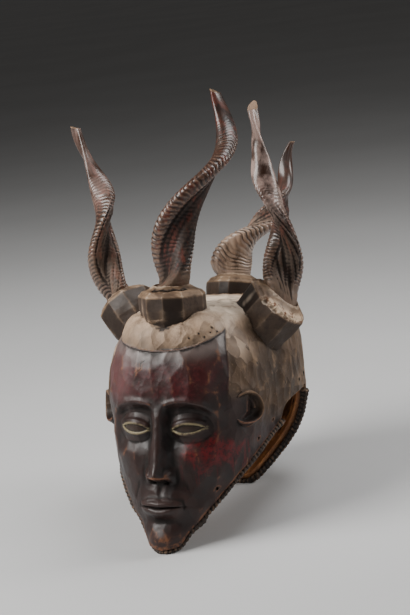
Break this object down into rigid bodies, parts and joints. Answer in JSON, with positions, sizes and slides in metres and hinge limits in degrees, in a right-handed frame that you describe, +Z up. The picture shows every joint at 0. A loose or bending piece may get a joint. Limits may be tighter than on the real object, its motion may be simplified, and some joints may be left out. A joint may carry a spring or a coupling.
{
  "type": "horned helmet mask",
  "caption": "Hollow carved wooden helmet mask, a calm face with ears and four twisted horns set in round bosses, rims bound with fibre cord.",
  "frame": {"origin": "middle of the small worn flat under the chin, on the surface that the mask stands on", "axes": "+Z up from that surface, face towards -Y, back of the head towards +Y, the wearer's left side towards +X"},
  "size_m": [0.33, 0.4591, 0.5371],
  "materials": {
    "patinated_wood": "dark worn gloss on the face, pale matte on the crown, red rubbed into forehead and cheek",
    "carved_horn": "dark brown worn gloss over close growth ridges",
    "fibre_binding": "dark wound fibre cord, worn pale on its edges"
  },
  "bodies": {
    "root": {"head": "patinated_wood", "horn_front": "carved_horn", "horn_left": "carved_horn", "horn_right": "carved_horn", "horn_back": "carved_horn", "jaw_binding": "fibre_binding", "nape_binding": "fibre_binding"}
  },
  "joints": []
}
